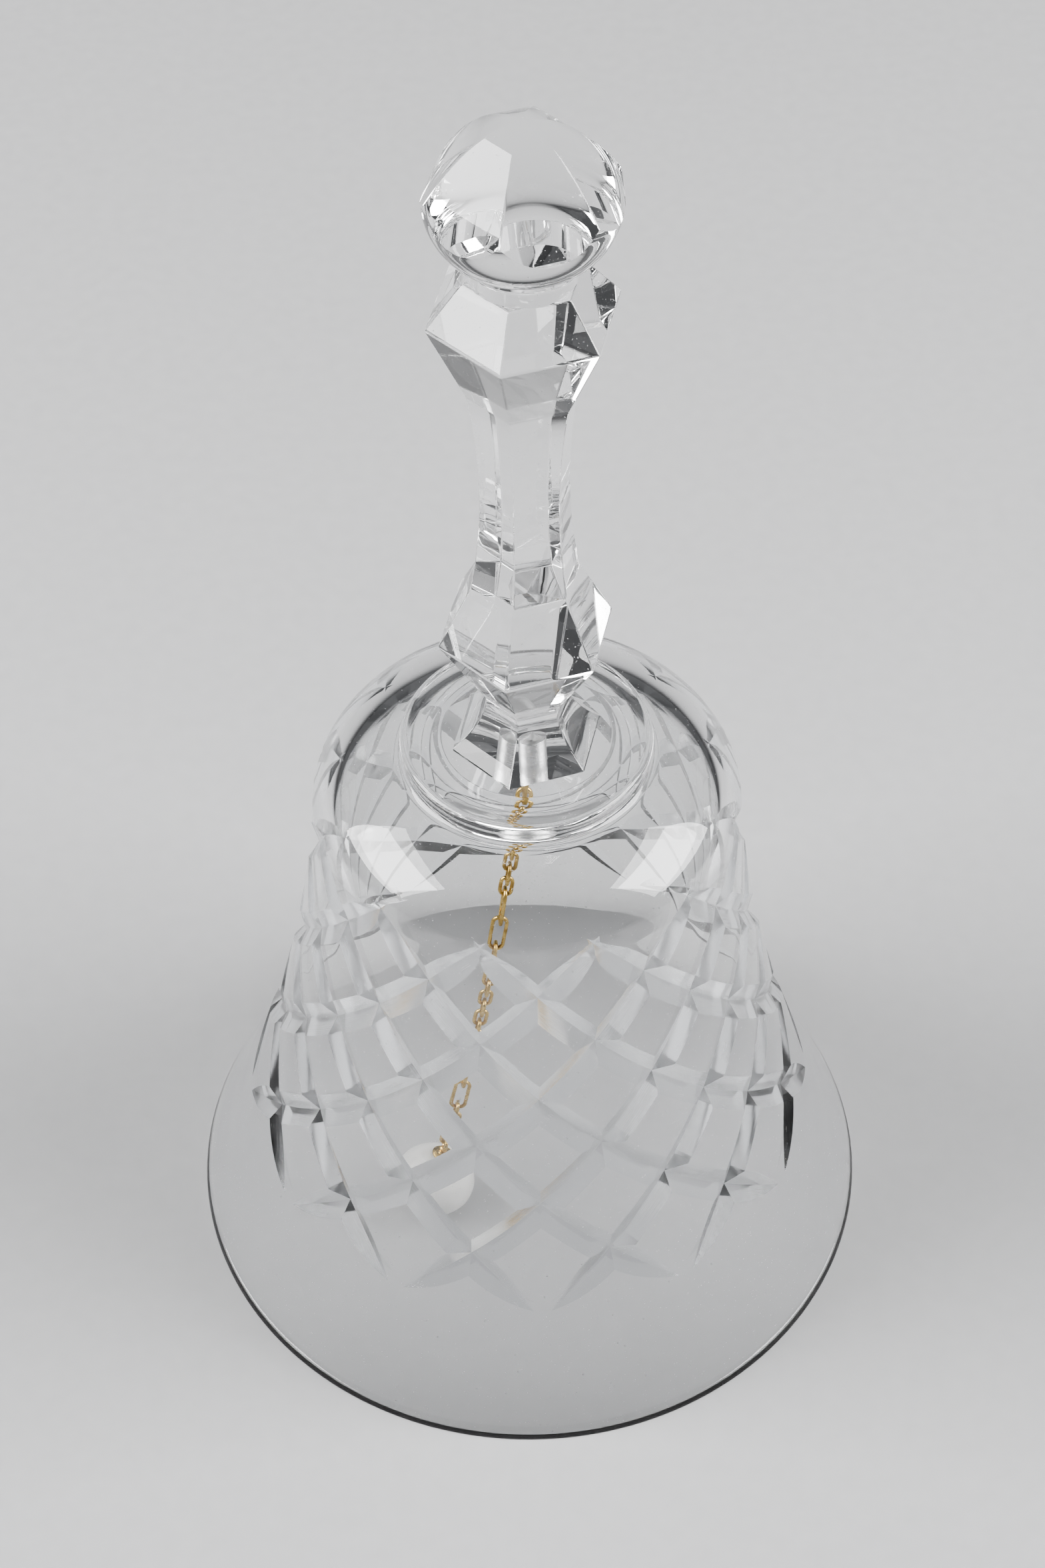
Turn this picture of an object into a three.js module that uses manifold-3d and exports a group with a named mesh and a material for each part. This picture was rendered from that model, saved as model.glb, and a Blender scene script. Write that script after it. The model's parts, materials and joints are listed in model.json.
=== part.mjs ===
// Cut-crystal hand bell. A blown bowl with a cut diamond lattice carries a six-sided pressed
// handle, fused on its crown. A sleeve cemented into a hole drilled up through the crown holds
// an eye pin, and a cable chain of oval links hangs the clapper ball from it.
// Millimetres, +Z up. The origin is the centre of the mouth, on the surface the rim stands on.

import * as THREE from "three";
import { mergeVertices } from "three/addons/utils/BufferGeometryUtils.js";
import Module from "manifold-3d";

const wasm = await Module();
wasm.setup();

// ---- Bowl ------------------------------------------------------------------------------------

const MOUTH_RADIUS = 45;
const SHOULDER_RADIUS = 25.9;
const SHOULDER_HEIGHT = 76;
const SHOULDER_RISE = 8.9; // from the widest part of the shoulder up to the flat crown
const CROWN_RADIUS = 13.2; // flat on top, under the handle's foot disc
const FLARE_SLOPE = 0.497; // how fast the radius shrinks with height, at the mouth
const FLARE_REACH = 31; // height over which that slope holds the curve
const UPRIGHT_SLOPE = 0.054; // the same slope just under the shoulder
const UPRIGHT_REACH = 5; // and the height over which it holds the curve
const RIM_WALL = 1.6;
const SHOULDER_WALL = 3.2;
const CROWN_WALL = 3.4;
const DOME_RISE = 7.5; // of the hollow's rounded top
const DOME_FLAT_RADIUS = 11; // flat in the middle of that top

// ---- Cut lattice: two families of mitre cuts that cross each other ------------------------------

const CUTS_PER_FAMILY = 12;
const ROW_PITCH = 8.55; // height between two rows of crossings
const FIRST_ROW_DROP = 6.6; // first full row of crossings, below the shoulder
const CUT_ROWS = 6;
const CUT_DEPTH = 1.1;
const CUT_HALF_ANGLE = 63.5; // degrees, from the cut's middle plane to its flank
const CUT_RUN_IN = 10; // height of a cut's start above the first row
const CUT_RUN_OUT = 8; // height of its end below the last row
const CUT_RAMP = 7; // height over which it grows to its full depth, and fades again
const CUT_LIFT = 0.15; // of the wheel off the glass at a cut's ends
const CUT_PHASE = 2.4; // degrees from the front to a crossing of the first row

// ---- Handle: heights of its stretches from the crown up, and its widths -------------------------

const SEAM = 0.3; // between the bowl's crown and the handle fused on it
const FOOT_DISC_RADIUS = 15;
const FOOT_DISC_HEIGHT = 2.3;
const FOOT_DISC_EDGE = 1.0; // rounding of the disc's rim
const DISH_RADIUS = 11.9; // middle of the ring-shaped dip in the disc's top
const DISH_HALF_WIDTH = 1.9;
const DISH_DEPTH = 0.4;
const FOOT_CORNER_RADIUS = 9.2;
const FOOT_FLARE_HEIGHT = 7.6;
const NECK_CORNER_RADIUS = 4.9;
const LOWER_KNOP_CORNER_RADIUS = 10.4;
const LOWER_KNOP_UNDERSIDE = 10.3;
const LOWER_KNOP_TOP = 8.2;
const SHAFT_END_CORNER_RADIUS = 6.4;
const SHAFT_WAIST_CORNER_RADIUS = 5.2;
const SHAFT_LENGTH = 28.4;
const UPPER_KNOP_CORNER_RADIUS = 10.6;
const UPPER_KNOP_UNDERSIDE = 10.1;
const UPPER_KNOP_TOP = 5.1;
const UPPER_KNOP_TOP_CORNER_RADIUS = 6.5;
const COLLAR_RADIUS = 5.7;
const COLLAR_HEIGHT = 3.4;
const FINIAL_RADIUS = 10.2;
const FINIAL_UNDERSIDE = 6.2;
const FINIAL_DOME = 9.0;
const FACET_CORNER_RADIUS = 13.5; // of the finial's six facets, where they run out below its girdle
const FACET_SKIRT = 4.5; // and how far below
const HANDLE_TWIST = -13; // degrees from the front to the nearest corner of the six

// ---- Hanger in the drilled hole -----------------------------------------------------------------

const HOLE_RADIUS = 1.7;
const FERRULE_LENGTH = 6;
const FIT_GAP = 0.3; // room left round every piece that sits in another
const PIN_RADIUS = 0.3;
const PIN_SUNK = 1.6; // depth of its upper end in the ferrule
const PIN_DROP = 2.0; // straight shank below the crown, above the eye

// ---- Chain and clapper --------------------------------------------------------------------------

const WIRE_RADIUS = 0.25;
const LINK_PLAY = 0.2; // between the wires of two hooked links
const SMALL_LINK_PITCH = 1.96;
const SMALL_BEND_RADIUS = 0.7;
const LONG_BEND_RADIUS = 0.9;
const EYE_BEND_RADIUS = 0.95;
const LINK_COUNT = 28;
const SMALL_RUN = 10; // small links, then long links, over and over
const LONG_RUN = 2;
const CHAIN_HEADING = -65.5; // degrees from the front, the way the chain leans at rest
const TOP_TILT = 9; // degrees from upright, of the first link
const BOTTOM_TILT = 13.5; // and of the clapper
const BALL_RADIUS = 5.25;
const BALL_FLOOR_GAP = 0.1; // between the resting ball and the plane of the mouth
const BALL_HOLE_DEPTH = 4.6;
const POST_RADIUS = 0.5;
const POST_FLANGE_RADIUS = 1.3;
const POST_FLANGE_THICKNESS = 0.5;
const POST_NECK = 0.5; // between the eye's wire and the flange

// ---- Fineness of the faceted solids -------------------------------------------------------------

const BOWL_SIDES = 48;
const FLARE_STEPS = 9;
const FLARE_TOLERANCE = 1e-9; // along the flare's curve, when a height is looked up on it
const ELLIPSE_STEPS = 5;
const HANDLE_SIDES = 6;
const ROUND_SIDES = 36;
const HOLE_SIDES = 16;
const WIRE_ROUND_SIDES = 12; // of straight pins and posts
const CURVE_STEPS = 4;
const CUT_STEPS = 12;
const WIRE_SIDES = 6;
const BEND_SIDES = 12;

// ---- Heights that follow ------------------------------------------------------------------------

const CROWN_TOP = SHOULDER_HEIGHT + SHOULDER_RISE;
const DOME_TOP = CROWN_TOP - CROWN_WALL;
const DOME_BASE = DOME_TOP - DOME_RISE;
const FERRULE_BOTTOM = DOME_TOP + FIT_GAP;
const FERRULE_TOP = FERRULE_BOTTOM + FERRULE_LENGTH;
const PIN_TOP = FERRULE_TOP - PIN_SUNK;
const HOLE_TOP = FERRULE_TOP + FIT_GAP;
const HOOK = 2 * WIRE_RADIUS + LINK_PLAY; // from a wire's centre to the wire hooked in it
const EYE_CENTRE = DOME_TOP - PIN_DROP - EYE_BEND_RADIUS;
const EYE_BOTTOM = EYE_CENTRE - EYE_BEND_RADIUS;
const POST_TOP = HOOK - 2 * EYE_BEND_RADIUS; // in the clapper's own frame, from its pivot
const FLANGE_TOP = POST_TOP - WIRE_RADIUS - POST_NECK;
const BALL_TOP = FLANGE_TOP - POST_FLANGE_THICKNESS - FIT_GAP;
const BALL_CENTRE = BALL_TOP - BALL_RADIUS;

const UP = new THREE.Vector3(0, 0, 1);
const radians = THREE.MathUtils.degToRad;

// ---- Materials ----------------------------------------------------------------------------------

function material(color, roughness, metalness) {
  return new THREE.MeshStandardMaterial({ color, roughness, metalness });
}

const crystal = () => material(0xeef3f5, 0.03, 0);
const whiteMetal = () => material(0xb9bbbc, 0.4, 1);
const darkSteel = () => material(0x6d6a66, 0.35, 1);
const giltBrass = () => material(0xc9a24a, 0.25, 1);
const satinGlass = () => material(0xe6e4df, 0.25, 0);

// ---- Solids -------------------------------------------------------------------------------------

// A closed three.js geometry as a manifold-3d solid.
function toSolid(geometry) {
  const bare = geometry.index ? geometry.clone() : mergeVertices(geometry);
  bare.deleteAttribute("normal");
  bare.deleteAttribute("uv");
  const merged = mergeVertices(bare, 1e-5);
  const vertProperties = new Float32Array(merged.attributes.position.array);
  const triVerts = new Uint32Array(merged.index.array);
  return new wasm.Manifold(new wasm.Mesh({ numProp: 3, vertProperties, triVerts }));
}

// The solid back as a three.js geometry.
function toGeometry(solid) {
  const { vertProperties, triVerts } = solid.getMesh();
  const geometry = new THREE.BufferGeometry();
  geometry.setAttribute("position", new THREE.BufferAttribute(vertProperties, 3));
  geometry.setIndex(new THREE.BufferAttribute(triVerts, 1));
  return geometry;
}

// A profile of [radius, height] points turned round the upright axis. Angles start at the front,
// -Y, and grow towards +X.
function turned(profile, sides, startDegrees = 0) {
  const points = profile.map(([radius, height]) => new THREE.Vector2(radius, height));
  const lathe = new THREE.LatheGeometry(points, sides, radians(startDegrees), 2 * Math.PI);
  return lathe.rotateX(Math.PI / 2);
}

// A solid cylinder from one height to another.
function rod(radius, low, high, sides) {
  return turned([[0, low], [radius, low], [radius, high], [0, high]], sides);
}

// Points of a quarter ellipse from [centre + width, base] up to [centre, base + rise].
function quarterEllipse(centre, width, base, rise) {
  const points = [];
  for (let i = 0; i <= ELLIPSE_STEPS; i += 1) {
    const angle = ((Math.PI / 2) * i) / ELLIPSE_STEPS;
    points.push([centre + width * Math.cos(angle), base + rise * Math.sin(angle)]);
  }
  return points;
}

// A ring of wire in the local XZ plane, stretched along Z. Its highest and lowest wire centres
// are at the two given heights.
function wireLoop(bendRadius, high, low) {
  const torus = new THREE.TorusGeometry(bendRadius, WIRE_RADIUS, WIRE_SIDES, BEND_SIDES);
  torus.rotateZ(Math.PI / BEND_SIDES);
  const position = torus.attributes.position;
  const stretch = (high - low) / 2 - bendRadius;
  for (let i = 0; i < position.count; i += 1) {
    const y = position.getY(i);
    position.setY(i, y + Math.sign(y) * stretch);
  }
  return torus.rotateX(Math.PI / 2).translate(0, 0, (high + low) / 2);
}

// ---- Bowl ---------------------------------------------------------------------------------------

// A flared side: slope held from the mouth, nearly upright under the shoulder.
function flare(mouthRadius, shoulderRadius, top) {
  return new THREE.CubicBezierCurve(
    new THREE.Vector2(mouthRadius, 0),
    new THREE.Vector2(mouthRadius - FLARE_SLOPE * FLARE_REACH, FLARE_REACH),
    new THREE.Vector2(shoulderRadius + UPRIGHT_SLOPE * UPRIGHT_REACH, top - UPRIGHT_REACH),
    new THREE.Vector2(shoulderRadius, top)
  );
}

const outerFlare = flare(MOUTH_RADIUS, SHOULDER_RADIUS, SHOULDER_HEIGHT);
const innerFlare = flare(MOUTH_RADIUS - RIM_WALL, SHOULDER_RADIUS - SHOULDER_WALL, DOME_BASE);

// Radius of the bowl's outside at a height, from the mouth up to the crown.
function outerRadius(height) {
  if (height >= SHOULDER_HEIGHT) {
    const rise = Math.min(1, (height - SHOULDER_HEIGHT) / SHOULDER_RISE);
    return CROWN_RADIUS + (SHOULDER_RADIUS - CROWN_RADIUS) * Math.sqrt(1 - rise * rise);
  }
  let low = 0;
  let high = 1;
  while (high - low > FLARE_TOLERANCE) {
    const middle = (low + high) / 2;
    if (outerFlare.getPoint(middle).y < height) {
      low = middle;
    } else {
      high = middle;
    }
  }
  return outerFlare.getPoint(low).x;
}

function bowlBlank() {
  const outside = outerFlare.getPoints(FLARE_STEPS).map((p) => [p.x, p.y]);
  const inside = innerFlare.getPoints(FLARE_STEPS).map((p) => [p.x, p.y]);
  const shoulderWidth = SHOULDER_RADIUS - CROWN_RADIUS;
  const domeWidth = SHOULDER_RADIUS - SHOULDER_WALL - DOME_FLAT_RADIUS;
  const shoulder = quarterEllipse(CROWN_RADIUS, shoulderWidth, SHOULDER_HEIGHT, SHOULDER_RISE);
  const dome = quarterEllipse(DOME_FLAT_RADIUS, domeWidth, DOME_BASE, DOME_RISE);
  const profile = [
    ...outside.slice(0, -1),
    ...shoulder,
    [HOLE_RADIUS, CROWN_TOP],
    [HOLE_RADIUS, DOME_TOP],
    ...dome.reverse(),
    ...inside.slice(0, -1).reverse(),
    outside[0],
  ];
  return toSolid(turned(profile, BOWL_SIDES));
}

// The bottom line of one mitre cut, winding down the bowl. The wheel comes in and lifts off
// gently, so the cut is shallow and narrow at both ends.
class WheelPath extends THREE.Curve {
  constructor(startDegrees, hand) {
    super();
    this.start = radians(startDegrees);
    this.hand = hand;
    this.top = SHOULDER_HEIGHT - FIRST_ROW_DROP + CUT_RUN_IN;
    this.drop = CUT_RUN_IN + (CUT_ROWS - 1) * ROW_PITCH + CUT_RUN_OUT;
  }

  angle(t) {
    const rows = (t * this.drop - CUT_RUN_IN) / ROW_PITCH;
    return this.start + (this.hand * rows * Math.PI) / CUTS_PER_FAMILY;
  }

  // Outward normal of the bowl's surface there.
  normal(t) {
    const height = this.top - t * this.drop;
    const step = 0.2;
    const slope = (outerRadius(height + step) - outerRadius(height - step)) / (2 * step);
    const angle = this.angle(t);
    return new THREE.Vector3(Math.sin(angle), -Math.cos(angle), -slope).normalize();
  }

  // Depth there. Just past its two ends the wheel is clear of the glass.
  depth(t) {
    const fromNearEnd = Math.min(t, 1 - t) * this.drop;
    const shortfall = Math.max(0, 1 - fromNearEnd / CUT_RAMP);
    return CUT_DEPTH - (CUT_DEPTH + CUT_LIFT) * shortfall * shortfall;
  }

  getPoint(t, target = new THREE.Vector3()) {
    const height = this.top - t * this.drop;
    const radius = outerRadius(height);
    const angle = this.angle(t);
    target.set(radius * Math.sin(angle), -radius * Math.cos(angle), height);
    return target.addScaledVector(this.normal(t), -this.depth(t));
  }

  // Frames that keep the cut square to the surface all the way.
  computeFrenetFrames(segments) {
    const frames = { tangents: [], normals: [], binormals: [] };
    for (let i = 0; i <= segments; i += 1) {
      const tangent = this.getTangentAt(i / segments);
      const outward = this.normal(this.getUtoTmapping(i / segments));
      const across = new THREE.Vector3().crossVectors(tangent, outward).normalize();
      frames.tangents.push(tangent);
      frames.normals.push(new THREE.Vector3().crossVectors(across, tangent).normalize());
      frames.binormals.push(across);
    }
    return frames;
  }
}

function mitreCut(startDegrees, hand) {
  const wheelHeight = 2 * CUT_DEPTH;
  const halfWidth = wheelHeight * Math.tan(radians(CUT_HALF_ANGLE));
  const vee = new THREE.Shape([
    new THREE.Vector2(0, 0),
    new THREE.Vector2(wheelHeight, -halfWidth),
    new THREE.Vector2(wheelHeight, halfWidth),
  ]);
  const extrudePath = new WheelPath(startDegrees, hand);
  return toSolid(new THREE.ExtrudeGeometry(vee, { steps: CUT_STEPS, extrudePath }));
}

function bowlGeometry() {
  let bowl = bowlBlank();
  const spacing = 360 / CUTS_PER_FAMILY;
  for (let i = 0; i < CUTS_PER_FAMILY; i += 1) {
    for (const hand of [-1, 1]) {
      bowl = bowl.subtract(mitreCut(CUT_PHASE + i * spacing, hand));
    }
  }
  return toGeometry(bowl);
}

// ---- Handle -------------------------------------------------------------------------------------

// Corner radius of the shaft, along it from 0 to 1: a waist between two equal ends.
function shaftCorner(along) {
  const swell = SHAFT_END_CORNER_RADIUS - SHAFT_WAIST_CORNER_RADIUS;
  return SHAFT_WAIST_CORNER_RADIUS + swell * (2 * along - 1) ** 2;
}

// Corner radius of the foot, from the disc (0) up to the neck (1).
function footCorner(along) {
  return NECK_CORNER_RADIUS + (FOOT_CORNER_RADIUS - NECK_CORNER_RADIUS) * (1 - along) ** 2;
}

function handleGeometry() {
  const discBottom = CROWN_TOP + SEAM;
  const discTop = discBottom + FOOT_DISC_HEIGHT;
  const edgeBase = discTop - FOOT_DISC_EDGE;
  const flatRadius = FOOT_DISC_RADIUS - FOOT_DISC_EDGE;
  const edge = quarterEllipse(flatRadius, FOOT_DISC_EDGE, edgeBase, FOOT_DISC_EDGE);
  const disc = [[0, discBottom], [CROWN_RADIUS, discBottom], ...edge];
  for (let i = 0; i <= 2 * CURVE_STEPS; i += 1) {
    const angle = (Math.PI * i) / (2 * CURVE_STEPS);
    disc.push([DISH_RADIUS + DISH_HALF_WIDTH * Math.cos(angle), discTop - DISH_DEPTH * Math.sin(angle)]);
  }
  disc.push([0, discTop]);

  const neck = discTop + FOOT_FLARE_HEIGHT;
  const lowerGirdle = neck + LOWER_KNOP_UNDERSIDE;
  const shaftBottom = lowerGirdle + LOWER_KNOP_TOP;
  const shaftTop = shaftBottom + SHAFT_LENGTH;
  const upperGirdle = shaftTop + UPPER_KNOP_UNDERSIDE;
  const upperTop = upperGirdle + UPPER_KNOP_TOP;
  const stem = [[0, edgeBase], [FOOT_CORNER_RADIUS, edgeBase]];
  for (let i = 0; i <= CURVE_STEPS; i += 1) {
    stem.push([footCorner(i / CURVE_STEPS), discTop + (FOOT_FLARE_HEIGHT * i) / CURVE_STEPS]);
  }
  stem.push([LOWER_KNOP_CORNER_RADIUS, lowerGirdle]);
  for (let i = 0; i <= 2 * CURVE_STEPS; i += 1) {
    const along = i / (2 * CURVE_STEPS);
    stem.push([shaftCorner(along), shaftBottom + SHAFT_LENGTH * along]);
  }
  stem.push([UPPER_KNOP_CORNER_RADIUS, upperGirdle]);
  stem.push([UPPER_KNOP_TOP_CORNER_RADIUS, upperTop]);
  stem.push([0, upperTop]);

  return toGeometry(
    toSolid(turned(disc, BOWL_SIDES))
      .add(toSolid(turned(stem, HANDLE_SIDES, HANDLE_TWIST)))
      .add(finial(upperTop))
      .subtract(toSolid(rod(HOLE_RADIUS, CROWN_TOP, HOLE_TOP, HOLE_SIDES)))
  );
}

// Round collar and mushroom knob. Six curved facets, in line with the stem's, meet at its top.
function finial(base) {
  const sunk = base - 1; // it starts inside the upper knop
  const collarTop = base + COLLAR_HEIGHT;
  const girdle = collarTop + FINIAL_UNDERSIDE;
  const top = girdle + FINIAL_DOME;
  const body = [[0, sunk], [COLLAR_RADIUS, sunk], [COLLAR_RADIUS, collarTop]];
  for (let i = 1; i <= CURVE_STEPS; i += 1) {
    const angle = ((Math.PI / 2) * i) / CURVE_STEPS;
    const radius = COLLAR_RADIUS + (FINIAL_RADIUS - COLLAR_RADIUS) * Math.sin(angle);
    body.push([radius, girdle - FINIAL_UNDERSIDE * Math.cos(angle)]);
  }
  body.push([FINIAL_RADIUS, top], [0, top]);

  const facetBase = girdle - FACET_SKIRT;
  const facets = [[0, sunk], [FACET_CORNER_RADIUS, sunk]];
  for (let i = 0; i < CURVE_STEPS; i += 1) {
    const along = i / CURVE_STEPS;
    facets.push([FACET_CORNER_RADIUS * (1 - along), top - (top - facetBase) * (1 - along) ** 2]);
  }
  facets.push([0, top]);
  const cap = toSolid(turned(facets, HANDLE_SIDES, HANDLE_TWIST));
  return toSolid(turned(body, ROUND_SIDES)).intersect(cap);
}

// ---- Hanger -------------------------------------------------------------------------------------

function ferruleGeometry() {
  const outer = HOLE_RADIUS - FIT_GAP;
  const inner = PIN_RADIUS + FIT_GAP;
  const profile = [
    [outer, FERRULE_BOTTOM],
    [outer, FERRULE_TOP],
    [inner, FERRULE_TOP],
    [inner, FERRULE_BOTTOM],
    [outer, FERRULE_BOTTOM],
  ];
  return turned(profile, HOLE_SIDES);
}

function eyePinGeometry() {
  const shank = rod(PIN_RADIUS, EYE_CENTRE + EYE_BEND_RADIUS, PIN_TOP, WIRE_ROUND_SIDES);
  const eye = wireLoop(EYE_BEND_RADIUS, EYE_CENTRE + EYE_BEND_RADIUS, EYE_BOTTOM);
  return toGeometry(toSolid(shank).add(toSolid(eye)));
}

// ---- Chain --------------------------------------------------------------------------------------

const isLong = (index) => index % (SMALL_RUN + LONG_RUN) >= SMALL_RUN;

// The chain hangs slack, so each piece leans further out than the one above. The clapper is the
// last piece, with index LINK_COUNT.
function tilt(index) {
  const along = index / LINK_COUNT;
  return radians(TOP_TILT + (BOTTOM_TILT - TOP_TILT) * along ** 2);
}

// The long links' pitch that brings the ball just clear of the surface the bell stands on.
function longLinkPitch() {
  let drop = EYE_BOTTOM - BALL_RADIUS - BALL_FLOOR_GAP + BALL_CENTRE * Math.cos(tilt(LINK_COUNT));
  let share = 0;
  for (let i = 0; i < LINK_COUNT; i += 1) {
    if (isLong(i)) share += Math.cos(tilt(i));
    else drop -= SMALL_LINK_PITCH * Math.cos(tilt(i));
  }
  return drop / share;
}

// Hangs a mesh with its pivot at a point, leaning as the chain does there. Every second piece is
// turned a quarter round the chain.
function hang(mesh, pivot, index) {
  const up = UP.clone().applyAxisAngle(new THREE.Vector3(1, 0, 0), -tilt(index));
  up.applyAxisAngle(UP, radians(CHAIN_HEADING));
  const wide = index % 2 === 1 ? new THREE.Vector3(1, 0, 0) : new THREE.Vector3(0, 1, 0);
  wide.addScaledVector(up, -wide.dot(up)).normalize();
  const across = new THREE.Vector3().crossVectors(up, wide);
  mesh.position.copy(pivot);
  mesh.quaternion.setFromRotationMatrix(new THREE.Matrix4().makeBasis(wide, across, up));
  return up;
}

function chain() {
  const group = new THREE.Group();
  const pitches = [SMALL_LINK_PITCH, longLinkPitch()];
  const pivot = UP.clone().multiplyScalar(EYE_BOTTOM);
  for (let i = 0; i < LINK_COUNT; i += 1) {
    const pitch = pitches[isLong(i) ? 1 : 0];
    const bend = isLong(i) ? LONG_BEND_RADIUS : SMALL_BEND_RADIUS;
    const name = "chain_link_" + String(i + 1).padStart(2, "0");
    const link = named(name, wireLoop(bend, HOOK, -pitch), giltBrass());
    const up = hang(link, pivot, i);
    pivot.addScaledVector(up, -pitch);
    group.add(link);
  }
  const eye = named("clapper_eye", clapperEyeGeometry(), giltBrass());
  const ball = named("clapper_ball", clapperBallGeometry(), satinGlass());
  for (const piece of [eye, ball]) {
    hang(piece, pivot, LINK_COUNT);
    group.add(piece);
  }
  return group;
}

// ---- Clapper, in its own frame with the pivot at the origin ---------------------------------------

function clapperEyeGeometry() {
  const postBottom = BALL_TOP - BALL_HOLE_DEPTH + FIT_GAP;
  const post = [
    [0, postBottom],
    [POST_RADIUS, postBottom],
    [POST_RADIUS, FLANGE_TOP - POST_FLANGE_THICKNESS],
    [POST_FLANGE_RADIUS, FLANGE_TOP - POST_FLANGE_THICKNESS],
    [POST_FLANGE_RADIUS, FLANGE_TOP],
    [POST_RADIUS, FLANGE_TOP],
    [POST_RADIUS, POST_TOP],
    [0, POST_TOP],
  ];
  const eye = wireLoop(EYE_BEND_RADIUS, HOOK, POST_TOP);
  return toGeometry(toSolid(turned(post, WIRE_ROUND_SIDES)).add(toSolid(eye)));
}

function clapperBallGeometry() {
  const ball = new THREE.SphereGeometry(BALL_RADIUS, ROUND_SIDES / 2, ROUND_SIDES / 3);
  ball.rotateX(Math.PI / 2).translate(0, 0, BALL_CENTRE);
  const holeTop = BALL_TOP + POST_NECK;
  const hole = rod(POST_RADIUS + FIT_GAP, BALL_TOP - BALL_HOLE_DEPTH, holeTop, WIRE_ROUND_SIDES);
  return toGeometry(toSolid(ball).subtract(toSolid(hole)));
}

// ---- Assembly -----------------------------------------------------------------------------------

function named(name, geometry, look) {
  const mesh = new THREE.Mesh(geometry, look);
  mesh.name = name;
  return mesh;
}

const bell = new THREE.Group();
bell.add(named("bell_bowl", bowlGeometry(), crystal()));
bell.add(named("handle", handleGeometry(), crystal()));
bell.add(named("hanger_ferrule", ferruleGeometry(), whiteMetal()));
bell.add(named("eye_pin", eyePinGeometry(), darkSteel()));
bell.add(chain());

export default bell;
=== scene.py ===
"""A cut-crystal hand bell on a pale studio floor: blown bowl with a cut diamond lattice, six-sided
handle, cemented hanger, cable chain and clapper ball."""

import json
import math

import bmesh
import bpy
import numpy as np
from mathutils import Matrix, Vector


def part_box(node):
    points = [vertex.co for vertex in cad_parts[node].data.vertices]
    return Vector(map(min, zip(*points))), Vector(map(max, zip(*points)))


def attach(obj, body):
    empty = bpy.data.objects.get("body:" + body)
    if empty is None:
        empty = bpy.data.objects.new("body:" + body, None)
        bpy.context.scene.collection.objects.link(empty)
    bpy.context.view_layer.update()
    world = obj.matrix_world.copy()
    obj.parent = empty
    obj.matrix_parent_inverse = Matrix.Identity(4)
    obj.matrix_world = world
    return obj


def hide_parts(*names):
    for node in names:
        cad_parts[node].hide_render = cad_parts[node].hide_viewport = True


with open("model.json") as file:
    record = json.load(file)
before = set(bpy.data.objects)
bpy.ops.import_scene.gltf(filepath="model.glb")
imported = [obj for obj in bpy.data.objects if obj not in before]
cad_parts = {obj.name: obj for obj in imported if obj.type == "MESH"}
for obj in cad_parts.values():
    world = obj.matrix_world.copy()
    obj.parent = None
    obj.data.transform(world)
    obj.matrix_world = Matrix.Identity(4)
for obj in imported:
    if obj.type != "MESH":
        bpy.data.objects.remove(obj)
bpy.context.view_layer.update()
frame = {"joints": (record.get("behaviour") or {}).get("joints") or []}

MM = 0.001

# ---- Sizes taken from the frame, in millimetres ------------------------------------------------


def box(node):
    """Lowest and highest corner of a node's box, in millimetres."""
    low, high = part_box(node)
    return np.array(low) / MM, np.array(high) / MM


MOUTH_RADIUS = box("bell_bowl")[1][0]
CROWN_TOP = box("bell_bowl")[1][2]
DISC_BOTTOM = box("handle")[0][2]
DISC_RADIUS = box("handle")[1][0]
HANDLE_TOP = box("handle")[1][2]
FERRULE_LOW, FERRULE_HIGH = box("hanger_ferrule")
PIN_LOW, PIN_HIGH = box("eye_pin")
BALL_LOW, BALL_HIGH = box("clapper_ball")
BALL_RADIUS = (BALL_HIGH - BALL_LOW).max() / 2

# ---- Bowl --------------------------------------------------------------------------------------

SHOULDER_RADIUS = 25.9
SHOULDER_RISE = 8.9
SHOULDER_HEIGHT = CROWN_TOP - SHOULDER_RISE
CROWN_RADIUS = 13.2
FLARE_SLOPE = 0.497
FLARE_REACH = 31
UPRIGHT_SLOPE = 0.054
UPRIGHT_REACH = 5
RIM_WALL = 1.6
RIM_ROUNDING = 0.3
FILLET_PAST_DISC = 1.0  # where the shoulder turns up into the disc
FILLET_INSET = 0.65
SHOULDER_WALL = 3.2
CROWN_WALL = 3.4
DOME_RISE = 7.5
DOME_FLAT_RADIUS = 11
DOME_TOP = CROWN_TOP - CROWN_WALL
DOME_BASE = DOME_TOP - DOME_RISE
HOLE_RADIUS = 1.7
FIT_GAP = 0.3
HOLE_TOP = FERRULE_HIGH[2] + FIT_GAP
DRILL_POINT = math.radians(31)

# ---- Foot disc between the bowl and the handle -------------------------------------------------

DISC_HEIGHT = 2.3
DISC_TOP = DISC_BOTTOM + DISC_HEIGHT
BEAD_RADIUS = 0.8
BEAD_START = -42  # degrees, from level, where the bead leaves the fillet
DISH_RADIUS = 11.9
DISH_HALF_WIDTH = 1.9
DISH_DEPTH = 0.4

# ---- Cut lattice -------------------------------------------------------------------------------

CUTS_PER_FAMILY = 12
ROW_PITCH = 8.55
FIRST_ROW_DROP = 6.6
CUT_ROWS = 6
CUT_DEPTH = 1.1
CUT_HALF_ANGLE = math.radians(63.5)
CUT_RUN_IN = 10
CUT_RUN_OUT = 8
CUT_RAMP = 7
CUT_LIFT = 0.15
CUT_PHASE = math.radians(2.4)

# ---- Handle ------------------------------------------------------------------------------------

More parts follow.
